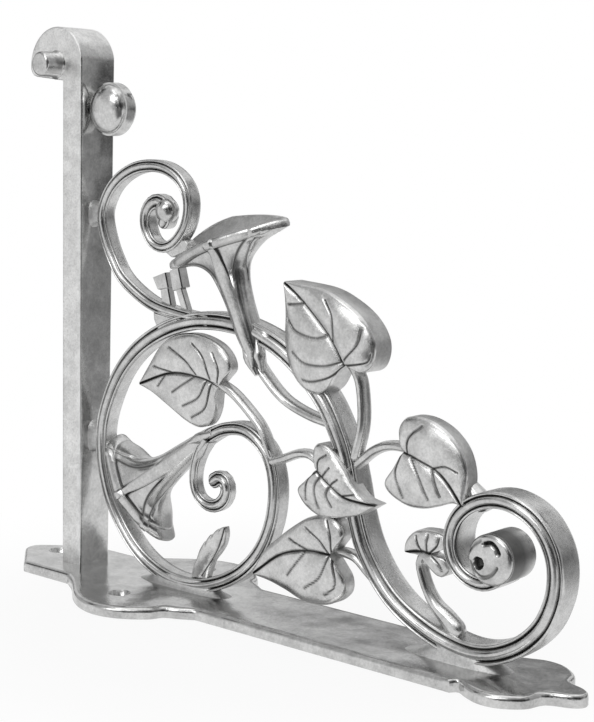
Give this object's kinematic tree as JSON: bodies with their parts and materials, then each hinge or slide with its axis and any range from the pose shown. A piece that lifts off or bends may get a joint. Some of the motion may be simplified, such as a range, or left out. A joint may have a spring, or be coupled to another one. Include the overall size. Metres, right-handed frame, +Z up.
{
  "type": "shelf bracket",
  "caption": "Cast aluminium L-shaped shelf bracket: a plain arm with a curled stop and a shaped wall plate, joined by a scrolling vine with heart-shaped leaves and trumpet flowers.",
  "frame": {"origin": "centre of the bounding box in X and Y, at the underside of the wall plate", "axes": "+X along the wall plate from the arm to the volute, +Z up along the arm, the vine's modelled front faces -Y"},
  "size_m": [0.294, 0.088, 0.2398],
  "materials": {
    "cast_aluminium": "polished sand casting with satin flats on the arm"
  },
  "bodies": {
    "root": {"bracket_casting": "cast_aluminium"}
  },
  "joints": []
}
